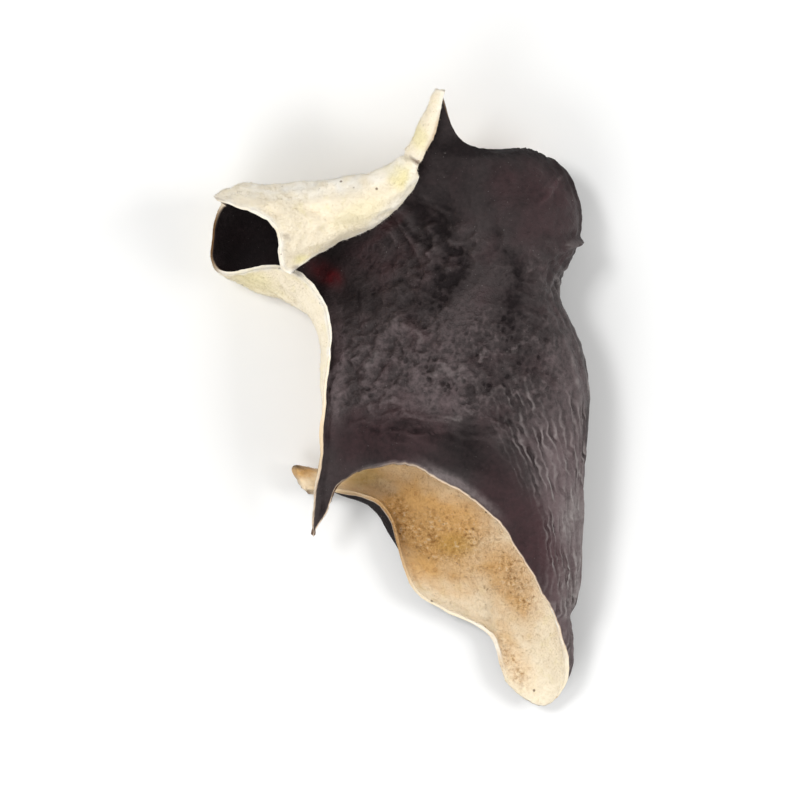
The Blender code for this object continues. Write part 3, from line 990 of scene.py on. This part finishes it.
    def __post_init__(self) -> None:
        """Samples the surface and works out the fields that all later steps share."""
        u = np.concatenate([samples(self.across), samples(self.horn_across)[1:]])
        v = np.concatenate([samples(self.front_along)[:-1], samples(self.back_along)])
        self.mouth_row = len(samples(self.front_along)) - 1
        self.last_column = len(samples(self.across)) - 1
        self.u, self.v = np.meshgrid(u, v)
        place, along_u, along_v = spline_surface(self.cage.padded(), *self.torn())
        for pull in self.pulls:
            place, along_u, along_v = pull.moved(place, (along_u, along_v))
        self.middle = place
        self.normal = unit(np.cross(along_u, along_v))
        if self.normal[self.row_of(3.0), self.column_of(9.0), 2] < 0.0:
            self.normal = -self.normal
        self.valid = (self.u <= self.u[0, self.last_column]) | (self.v >= self.cage.mouth_rib)
        self.edge = self.edge_distance()

    def tint(self, areas: tuple[Area, ...]) -> np.ndarray:
        """Sum of the areas' strengths times their weights, on the grid."""
        return sum(area.strength * area.weight(self.middle) for area in areas)

    def noise(self, seed: int, cell: float, layers: int = 0) -> np.ndarray:
        """Noise on the grid, with cells in mm: the plain field, or its layers."""
        field_of = Noise(seed)
        return field_of.layered(self.middle / cell, layers) if layers else field_of.at(self.middle / cell)

    def torn(self) -> tuple[np.ndarray, np.ndarray]:
        """Surface parameters of the grid, drawn in near the margins so that these run unevenly.

        Each margin moves in by its own noise in mm over the surface's local speed, and the move fades
        within about half a rib or rail.  The horn's free margin has one deeper notch.

        Returns:
            Rail and rib numbers, each on the whole grid.
        """
        u, v = self.u, self.v
        place, along_u, along_v = spline_surface(self.cage.padded(), u, v)
        depth = self.ragged * (0.5 + Noise(15).layered(place / 1.6, 3) + 0.5 * Noise(16).at(place / 0.5))
        notch_width = np.where(v < self.notch_rib, 0.07, 0.30)
        notch = self.notch_depth * np.exp(-((v - self.notch_rib) / notch_width)**2)
        mouth = float(self.cage.mouth_rib)
        main, last = v <= mouth, u[0, self.last_column]
        near_left = smoothstep(u, 0.6, 0.0)
        near_right = np.where(main, smoothstep(u, last - 0.7, last) * smoothstep(v, mouth, mouth - 1.0),
                              smoothstep(u, last + 3.2, last + 4.0) * smoothstep(v, mouth, mouth + 0.4))
        inward_right = depth + np.where(main, 0.0, notch)
        speed_u = np.maximum(np.linalg.norm(along_u, axis=-1), 1.0)
        speed_v = np.maximum(np.linalg.norm(along_v, axis=-1), 1.0)
        near_mouth = smoothstep(v, mouth + 0.6, mouth) * smoothstep(u, last, last + 0.6)
        near_front = smoothstep(v, 0.5, 0.0) + near_mouth * (v >= mouth)
        near_back = smoothstep(v, 9.5, 10.0)
        step_u = (depth * near_left - inward_right * near_right) / speed_u
        return u + step_u, v + depth * (near_front - 0.4 * near_back) / speed_v

    def row_of(self, rib: float) -> int:
        """Grid row nearest to a rib number."""
        return int(np.argmin(np.abs(self.v[:, 0] - rib)))

    def column_of(self, rail: float) -> int:
        """Grid column nearest to a rail number."""
        return int(np.argmin(np.abs(self.u[0] - rail)))

    def steps(self, places: np.ndarray) -> tuple[np.ndarray, np.ndarray]:
        """Distances between neighbours on the grid, across and along."""
        return tuple(np.linalg.norm(np.diff(places, axis=axis), axis=-1) for axis in (1, 0))

    def edge_distance(self) -> np.ndarray:
        """Way to the nearest margin along the grid lines: the least of four running lengths.

        Returns:
            Lengths in millimetres on the grid.
        """
        last, mouth = self.last_column, self.mouth_row
        step_u, step_v = self.steps(self.middle)
        run_u = np.pad(np.cumsum(step_u, axis=1), ((0, 0), (1, 0)))
        run_v = np.pad(np.cumsum(step_v, axis=0), ((1, 0), (0, 0)))
        end = np.where(np.arange(len(self.v))[:, None] < mouth, run_u[:, last:last + 1], run_u[:, -1:])
        start = np.where(np.arange(self.u.shape[1])[None, :] > last, run_v[mouth:mouth + 1], 0.0)
        self.margin_way = np.maximum(end - run_u, 0.0)
        nearest = np.minimum(np.minimum(run_u, end - run_u), np.minimum(run_v - start, run_v[-1:] - run_v))
        return np.maximum(nearest, 0.0)

    @cached_property
    def waves(self) -> np.ndarray:
        """Bends that both faces share: noise of 8 mm and 2.5 mm cells, still where the sheet lies flat."""
        bends = 0.26 * self.noise(11, 8.0, 1) + 0.10 * self.noise(12, 2.5)
        return (bends - self.tint((self.waist,))) * smoothstep(self.middle[..., 2], 0.8, 3.0)

    @cached_property
    def flat_place(self) -> np.ndarray:
        """The grid on the sheet rolled out flat: running sums of the median steps in both directions.

        Returns:
            Points in millimetres, (rows, columns, 3).
        """
        known = self.valid[..., None] & np.isfinite(self.middle)
        step_u, step_v = self.steps(np.where(known, self.middle, 0.0))
        across = np.pad(np.cumsum(np.median(step_u, axis=0)), (1, 0))
        along = np.pad(np.cumsum(np.median(step_v, axis=1)), (1, 0))
        across, along = np.meshgrid(across, along)
        return np.stack([across, along, np.zeros_like(across)], -1)

    @cached_property
    def dark_layers(self) -> tuple[np.ndarray, np.ndarray]:
        """Relief of the dark face: wrinkles, creases, the wall's folds, the waist's spur, a fine crumple.

        Returns:
            Heights in millimetres, and the painted shade and highlight that dips and crests give the skin's
            tone, on the grid.
        """
        place = self.middle.copy()
        place[..., :2] += 0.5 * np.stack([self.noise(21, 3.0), self.noise(22, 3.0)], -1)
        upper = smoothstep(self.u, 5.6, 6.4)
        relief, shade = np.zeros(self.u.shape), np.zeros(self.u.shape)
        rough = 1.0 - self.tint(self.smooth_areas)
        for number, wrinkles in enumerate(self.dark_wrinkles):
            height = upper * rough * wrinkles.relief(place, self.flat_place, self.dark_seed + number)
            relief += height
            shade += wrinkles.shade * height
        uneven = np.clip(0.75 + 0.9 * self.noise(45, 1.6), 0.1, 1.4)
        for crease in self.creases:
            height = upper * uneven * smoothstep(self.normal[..., 2], -0.25, 0.15) * crease.relief(place)
            relief += height
            shade += self.crease_shade * height
        steep = upper * smoothstep(self.normal[..., 2], 0.55, 0.15) * smoothstep(self.u, 9.0, 8.0)
        relief += steep * self.wall_folds.relief(self.middle, self.flat_place, self.wall_seed)
        spur = smoothstep(self.u, 5.9, 6.3) * smoothstep(self.u, 7.0, 6.6)
        spur = spur * np.exp(-((self.v - self.spur_rib - 0.25 * (6.4 - self.u)) / 0.075)**2)
        relief += self.spur_height * spur + 0.06 * self.noise(41, 0.9, 2)
        return relief, shade

    @cached_property
    def pale_relief(self) -> np.ndarray:
        """Relief of the pale face: soft lumps everywhere, and the folds of the horn, flap and gutter.

        Returns:
            Heights in millimetres on the grid.
        """
        relief = 0.14 * self.noise(51, 1.8, 2) + 0.06 * self.noise(52, 0.6)
        for number, wrinkles in enumerate(self.pale_wrinkles):
            relief += wrinkles.relief(self.middle, self.flat_place, self.pale_seed + number)
        for crease in self.pale_creases:
            relief += crease.relief(self.middle) * smoothstep(self.u, 12.5, 13.5)
        return relief + self.gutter_crease.relief(self.middle) * smoothstep(self.u, 6.4, 5.8)

    def face_points(self, face: Face) -> np.ndarray:
        """Points of one face: middle surface plus half the thickness and the relief along the normal.

        Args:
            face: which face.

        Returns:
            Points in millimetres on the whole grid, (rows, columns, 3).
        """
        inner = smoothstep(self.edge, 0.0, self.margin_taper)
        margin = self.margin_thickness * (1.0 - 0.5 * self.tint(self.thin_margins))
        margin = margin * (1.0 + 0.4 * self.noise(17, 1.2, 2))
        half = (margin + (self.thickness - margin) * inner) / 2.0
        relief = self.dark_layers[0] if face is Face.DARK else self.pale_relief
        full = smoothstep(self.edge, 0.0, self.margin_fade)
        relief = relief * (self.margin_relief + (1.0 - self.margin_relief) * full)
        offset = face.value * (half + relief) + self.waves
        points = self.middle + offset[..., None] * self.normal
        points[..., 2] = np.maximum(points[..., 2], self.table_gap)
        return points

    def margin_loop(self, numbers: np.ndarray) -> np.ndarray:
        """The grid's margin, once round the L-shaped sheet.

        Args:
            numbers: vertex number of each grid point.

        Returns:
            Vertex numbers in order.
        """
        last, mouth = self.last_column, self.mouth_row
        return np.concatenate((
            numbers[0, :last], numbers[:mouth, last], numbers[mouth, last:-1],
            numbers[mouth:-1, -1], numbers[-1, :0:-1], numbers[:0:-1, 0],
        ))

    def rim_points(self, dark: np.ndarray, pale: np.ndarray) -> np.ndarray:
        """Points of the rounded edge: half ellipses from the dark margin round to the pale one.

        Args:
            dark: the dark face's margin points, (n, 3).
            pale: the pale face's margin points, (n, 3).

        Returns:
            The steps between them, (rim_steps - 1, n, 3).
        """
        middle, half = (dark + pale) / 2.0, (dark - pale) / 2.0
        run = unit(np.roll(middle, -1, axis=0) - np.roll(middle, 1, axis=0))
        outward = unit(np.cross(run, half)) * np.linalg.norm(half, axis=-1, keepdims=True)
        angle = math.pi * np.arange(1, self.rim_steps) / self.rim_steps
        bulge = self.rim_roundness * np.sin(angle)[:, None, None] * outward
        return middle + np.cos(angle)[:, None, None] * half + bulge

    def build(self) -> bpy.types.Object:
        """Builds the closed sheet with its fields, on both faces and the edge, and both materials.

        Returns:
            The finished piece.
        """
        count = int(np.count_nonzero(self.valid))
        numbers = np.full(self.valid.shape, -1)
        numbers[self.valid] = np.arange(count)
        loop = self.margin_loop(numbers)
        dark, pale = (self.face_points(face)[self.valid] for face in Face)
        rim = self.rim_points(dark[loop], pale[loop])
        vertices = np.concatenate([dark, pale, rim.reshape(-1, 3)])
        corner = (numbers[:-1, :-1], numbers[:-1, 1:], numbers[1:, 1:], numbers[1:, :-1])
        whole = np.all(np.stack(corner) >= 0, axis=0)
        quads = np.stack([part[whole] for part in corner], -1)
        rings = 2 * count + np.arange(rim.shape[0] * len(loop)).reshape(rim.shape[0], len(loop))
        rings = np.concatenate([loop[None], rings, count + loop[None]])
        after = np.roll(rings, -1, axis=1)
        strips = np.stack([rings[:-1], rings[1:], after[1:], after[:-1]], -1).reshape(-1, 4)
        faces = np.concatenate([quads, count + quads[:, ::-1], strips])
        if signed_volume(vertices, faces) < 0.0:
            faces = faces[:, ::-1]
        piece = make_object(self.name, vertices, faces)
        piece.data.materials.append(DriedSkin().material())
        piece.data.materials.append(DriedFelt().material())
        slots = np.concatenate([np.zeros(len(quads)), np.ones(len(quads) + len(strips))])
        piece.data.polygons.foreach_set("material_index", slots.astype(np.int32))
        for name, values in {**self.fields, **self.courses}.items():
            flat = values[self.valid]
            set_field(piece, name, np.concatenate([flat, flat, np.tile(flat[loop], rim.shape[0])]))
        LOG.info("%s: %d vertices, %d quads, %.0f cubic mm", self.name, len(vertices), len(faces),
                 abs(signed_volume(vertices, faces)))
        return piece

    @cached_property
    def fields(self) -> dict[str, np.ndarray]:
        """Colour fields: sums of soft areas and noise, kept to their part of the sheet by smooth steps.

        Returns:
            Values from 0 to 1 on the grid, by the field's name.
        """
        u, v, away, tint, noise = self.u, self.v, self.edge, self.tint, self.noise
        upper = smoothstep(u, 5.4, 6.6)
        # The tone takes in the relief's painted shade in dips and painted highlight on crests.
        tone = 0.42 + 0.08 * noise(61, 5.0, 2) + self.dark_layers[1]
        tone += tint(self.tones) * upper - 0.42 * (1.0 - upper)
        # Painted sheen along the arch, which lightens the tone and greys the skin.
        sheen = tint(self.arch_sheen) * smoothstep(away, 1.8, 0.7) * smoothstep(away, 0.1, 0.5)
        sheen = sheen + tint(self.arch_sheen_line) * smoothstep(away, 0.50, 0.28)
        tone += 0.7 * upper * sheen
        plum = tint(self.plum_areas) * upper + 0.40 * noise(66, 2.4, 2)
        # Grey on the skin: dust on high relief, and painted sheen along the arch and on the right wall.
        dust_and_sheen = tint(self.dust_and_sheen_areas) * smoothstep(self.dark_layers[0], 0.14, 0.34) + 0.35 * sheen
        dust_and_sheen += tint(self.painted_wall_sheen)
        dust_and_sheen *= upper * (0.8 + 0.6 * noise(64, 2.4))
        ridged = tint(self.ridged_areas) * upper * (0.8 + 0.6 * noise(69, 1.8))
        bare = np.clip(tint(self.bare_margins), 0.0, 1.0)
        lined = (1.0 - bare) * (1.0 - smoothstep(v, 6.6, 7.6) * smoothstep(u, 12.5, 12.0))
        edge = lined * smoothstep(away + 0.08 * noise(65, 0.7, 2), 0.26, 0.10)
        line = tint(self.lined_margins) * (1.0 - tint(self.dark_margins))
        way = self.margin_way + 0.08 * noise(70, 0.7, 2)
        edge = np.maximum(edge, line * smoothstep(way + 0.16 * smoothstep(v, 0.8, 1.8), 0.38, 0.20))
        wine = tint(self.wine_spots) * (0.8 + 0.5 * noise(62, 0.8)) * upper
        front = smoothstep(v, 3.6, 2.0) * smoothstep(u, 7.8, 6.6)
        # Inside the fold the felt turns tan lower down: partly its flesh, partly painted shade under the
        # roof.
        inside = smoothstep(self.middle[..., 2], 12.5, 9.0) * smoothstep(u, 10.4, 9.0)
        tan = np.maximum(tint(self.tan_areas) * front, 0.75 * inside * (1.0 - front))
        mottle = 0.16 * noise(63, 2.5, 3) + 0.20 * noise(68, 0.9, 2)
        tan = tan + mottle * smoothstep(tan, 0.02, 0.25)
        speck = tint(self.speck_areas) * front + 0.35 * inside * (1.0 - front)
        horn = smoothstep(u, 11.5, 13.0)
        brink = smoothstep(away, 0.4, 0.0)
        bright = np.clip(tint(self.bright_margins), 0.0, 1.0)
        pinkish = line * smoothstep(v, 3.0, 1.4)
        # Painted highlight: white on the felt's margins, most on the horn, and on the bright margins and the
        # horn's lit top.
        lit = np.maximum(0.1 + 0.7 * horn * (1.0 - pinkish), bright)
        lip = np.maximum(smoothstep(away, 0.6, 0.0) * lit * (1.0 - bare), tint(self.horn_highlight_areas) * horn)
        lip = lip * (0.8 + 0.8 * noise(67, 0.9))
        # The rim is darkened at the dark margins, the spike's front tip and along the back edge.
        darkened_rim = tint(self.dark_margins)
        darkened_rim += 0.9 * smoothstep(v, 0.4, 0.1) * (smoothstep(u, 11.2, 11.8) * smoothstep(u, 13.0, 12.8))
        darkened_rim += 0.9 * smoothstep(v, 9.7, 9.9) * smoothstep(u, 12.6, 12.0) * upper
        stain = tint(self.stains) + brink * (0.45 * bare + darkened_rim)
        yellow = tint(self.yellow_areas) * horn + tint(self.ochre_areas) * front
        tan = np.maximum(tan, brink * np.maximum(bare, 0.4 * pinkish))
        pitted = tint(self.pitted_areas) * upper
        fields = {"tone": tone, "plum": plum, "dust_and_sheen": dust_and_sheen, "wine": wine, "edge": edge, "ridged": ridged,
                  "pitted": pitted, "tan": tan, "speck": speck, "lip": lip, "stain": stain, "yellow": yellow}
        return {name: np.clip(values, 0.0, 1.0) for name, values in fields.items()}

    @property
    def courses(self) -> dict[str, np.ndarray]:
        """Running lengths in mm across and along the crests, which bend from the crown to the wall.

        Across is the way across the sheet less 0.35 times a soft ramp that starts 10 mm in front of the
        middle, so that the crests slant behind that place and run straight in front of it.
        """
        ramp = 2.0 * np.logaddexp(0.0, (self.middle[..., 1] + 10.0) / 2.0)
        return {"course_across": self.flat_place[..., 0] - 0.35 * ramp, "course_along": self.middle[..., 1]}


def signed_volume(vertices: np.ndarray, faces: np.ndarray) -> float:
    """Volume inside a closed mesh: the sum over its triangles of a sixth of a . (b x c).

    Args:
        vertices: points, (n, 3).
        faces: quads, (m, 4).

    Returns:
        The volume, negative where the faces point inwards.
    """
    first, second, third, fourth = (vertices[faces[:, place]] for place in range(4))
    halves = np.sum(first * np.cross(second, third), -1) + np.sum(first * np.cross(third, fourth), -1)
    return float(np.sum(halves) / 6.0)


@dataclass
class FeltHairs:
    """Short hairs over a part of the pale face: slim spikes of four triangles each, joined in one mesh."""

    name: str
    sheet: FoldedSheet
    region: np.ndarray
    count: int
    seed: int
    length: float = 0.16
    width: float = 0.040
    lean: float = 65.0
    comb_cell: float = 1.6
    stray: float = 0.25
    sunk: float = 0.04

    def build(self) -> bpy.types.Object:
        """Scatters the hairs over the region by area and builds them.

        A hair is a tetrahedron: a small triangle on the felt, and a tip at length times the blend of the
        surface's normal and a direction that turns slowly from place to place.

        Returns:
            The finished piece.
        """
        draw = np.random.default_rng(self.seed)
        points = self.sheet.face_points(Face.PALE)
        here, right, ahead = points[:-1, :-1], points[:-1, 1:], points[1:, :-1]
        area = np.linalg.norm(np.cross(right - here, ahead - here), axis=-1)
        known = self.sheet.valid
        whole = known[:-1, :-1] & known[:-1, 1:] & known[1:, :-1] & known[1:, 1:]
        weight = (area * whole * self.region[:-1, :-1]).ravel()
        chosen = np.searchsorted(np.cumsum(weight) / weight.sum(), draw.random(self.count))
        row, column = np.unravel_index(chosen, area.shape)
        share = draw.random((2, self.count, 1))
        side = points[row, column + 1] - points[row, column]
        front = points[row + 1, column] - points[row, column]
        root = points[row, column] + share[0] * side + share[1] * front
        normal = Face.PALE.value * self.sheet.normal[row, column]
        first = unit(side)
        second = np.cross(normal, first)
        stray = self.stray * draw.normal(size=self.count)
        turn = math.tau * (Noise(self.seed).at(root / self.comb_cell) + stray)
        tilt = np.radians(self.lean * draw.random(self.count)**0.5)
        flat = np.cos(turn)[:, None] * first + np.sin(turn)[:, None] * second
        way = np.cos(tilt)[:, None] * normal + np.sin(tilt)[:, None] * flat
        reach = self.length * (0.5 + draw.random((self.count, 1)))
        spin = draw.random(self.count)[None] * math.tau + math.tau * np.arange(3)[:, None] / 3.0
        foot = np.cos(spin)[..., None] * first + np.sin(spin)[..., None] * second
        base = root - self.sunk * normal + 0.5 * self.width * foot
        vertices = np.concatenate([base, (root + reach * way)[None]]).transpose(1, 0, 2).reshape(-1, 3)
        vertices[:, 2] = np.maximum(vertices[:, 2], self.sheet.table_gap)
        pattern = np.array([[0, 1, 3], [1, 2, 3], [2, 0, 3], [2, 1, 0]])
        faces = (4 * np.arange(self.count)[:, None, None] + pattern).reshape(-1, 3)
        piece = make_object(self.name, vertices, faces)
        piece.data.materials.append(DriedFelt().material())
        for name in FELT_FIELDS:
            set_field(piece, name, np.repeat(self.sheet.fields[name][row, column], 4))
        LOG.info("%s: %d hairs, %d triangles", self.name, self.count, len(faces))
        return piece


# ---- Stage ----
@dataclass(frozen=True)
class Stage:
    """Plain pale floor, soft studio light and the camera straight above the piece."""

    floor_size: float = 3.0
    floor_colour: str = "#fafaf9"
    world_strength: float = 0.44
    frame_height: float = 0.0745
    focus_height: float = 0.008
    lens_mm: float = 250.0
    sensor_mm: float = 36.0
    lamps: tuple[tuple[str, Point3, float, float], ...] = (
        ("key_softbox", (-0.16, 0.10, 0.38), 0.10, 0.55),
        ("front_softbox", (-0.16, -0.24, 0.28), 0.20, 0.50),
        ("right_softbox", (0.30, 0.02, 0.26), 0.16, 0.60),
    )

    def floor(self) -> None:
        """Makes a large flat square at the table's level."""
        half = self.floor_size / 2.0 / MM
        corners = np.array([[-half, -half, 0.0], [half, -half, 0.0], [half, half, 0.0], [-half, half, 0.0]])
        floor = make_object("studio_floor", corners, np.array([[0, 1, 2, 3]]))
        material, shader = blank("studio_paper")
        shader.inputs["Base Color"].default_value = linear(self.floor_colour)
        shader.inputs["Roughness"].default_value = 0.95
        floor.data.materials.append(material)

    def lamp(self, name: str, place: Point3, size: float, power: float) -> None:
        """Makes a square soft light that looks at the origin.

        Args:
            name: the light's name.
            place: where it stands, in metres.
            size: its side in metres.
            power: watts.
        """
        data = bpy.data.lights.new(name, "AREA")
        data.size = size
        data.energy = power
        lamp = bpy.data.objects.new(name, data)
        lamp.location = place
        lamp.rotation_euler = Vector(place).to_track_quat("Z", "Y").to_euler()
        bpy.context.scene.collection.objects.link(lamp)

    def build(self) -> None:
        """Makes the world, the floor, the lights and the camera."""
        world = bpy.data.worlds.new("studio")
        world.use_nodes = True
        background = world.node_tree.nodes["Background"]
        background.inputs["Color"].default_value = (1.0, 1.0, 1.0, 1.0)
        background.inputs["Strength"].default_value = self.world_strength
        bpy.context.scene.world = world
        self.floor()
        for lamp in self.lamps:
            self.lamp(*lamp)
        bpy.context.scene.view_settings.view_transform = "Standard"
        data = bpy.data.cameras.new("photo_camera")
        data.lens = self.lens_mm
        data.sensor_width = self.sensor_mm
        camera = bpy.data.objects.new("photo_camera", data)
        distance = self.frame_height * self.lens_mm / self.sensor_mm
        camera.location = (0.0, 0.0, distance + self.focus_height)
        bpy.context.scene.collection.objects.link(camera)
        bpy.context.scene.camera = camera


def felt_regions(sheet: FoldedSheet) -> dict[str, np.ndarray]:
    """Which part of the pale face each piece of felt covers.

    Args:
        sheet: the sheet.

    Returns:
        Weights on the sheet's grid, by the piece's name.
    """
    horn = smoothstep(sheet.u, 11.0, 11.8) * (sheet.v > 3.5)
    front = (1.0 - horn) * smoothstep(sheet.v, 3.4, 2.4) * (sheet.u < 7.6)
    inside = 1.0 - np.maximum(horn, front)
    return {"horn_felt": horn, "front_felt": front, "inner_felt": inside}


def main() -> None:
    """Builds the stage and the pieces in order and reports each."""
    logging.basicConfig(level=logging.INFO, format="%(name)s %(message)s")
    Stage().build()
    sheet = FoldedSheet()
    body = sheet.build()
    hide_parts(NODE)
    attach(body, BODY)
    for number, (name, region) in enumerate(felt_regions(sheet).items()):
        hairs = FeltHairs(name, sheet, region, HAIR_COUNT, HAIR_SEED + number).build()
        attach(hairs, BODY)
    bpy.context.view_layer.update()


if __name__ == "__main__":
    main()
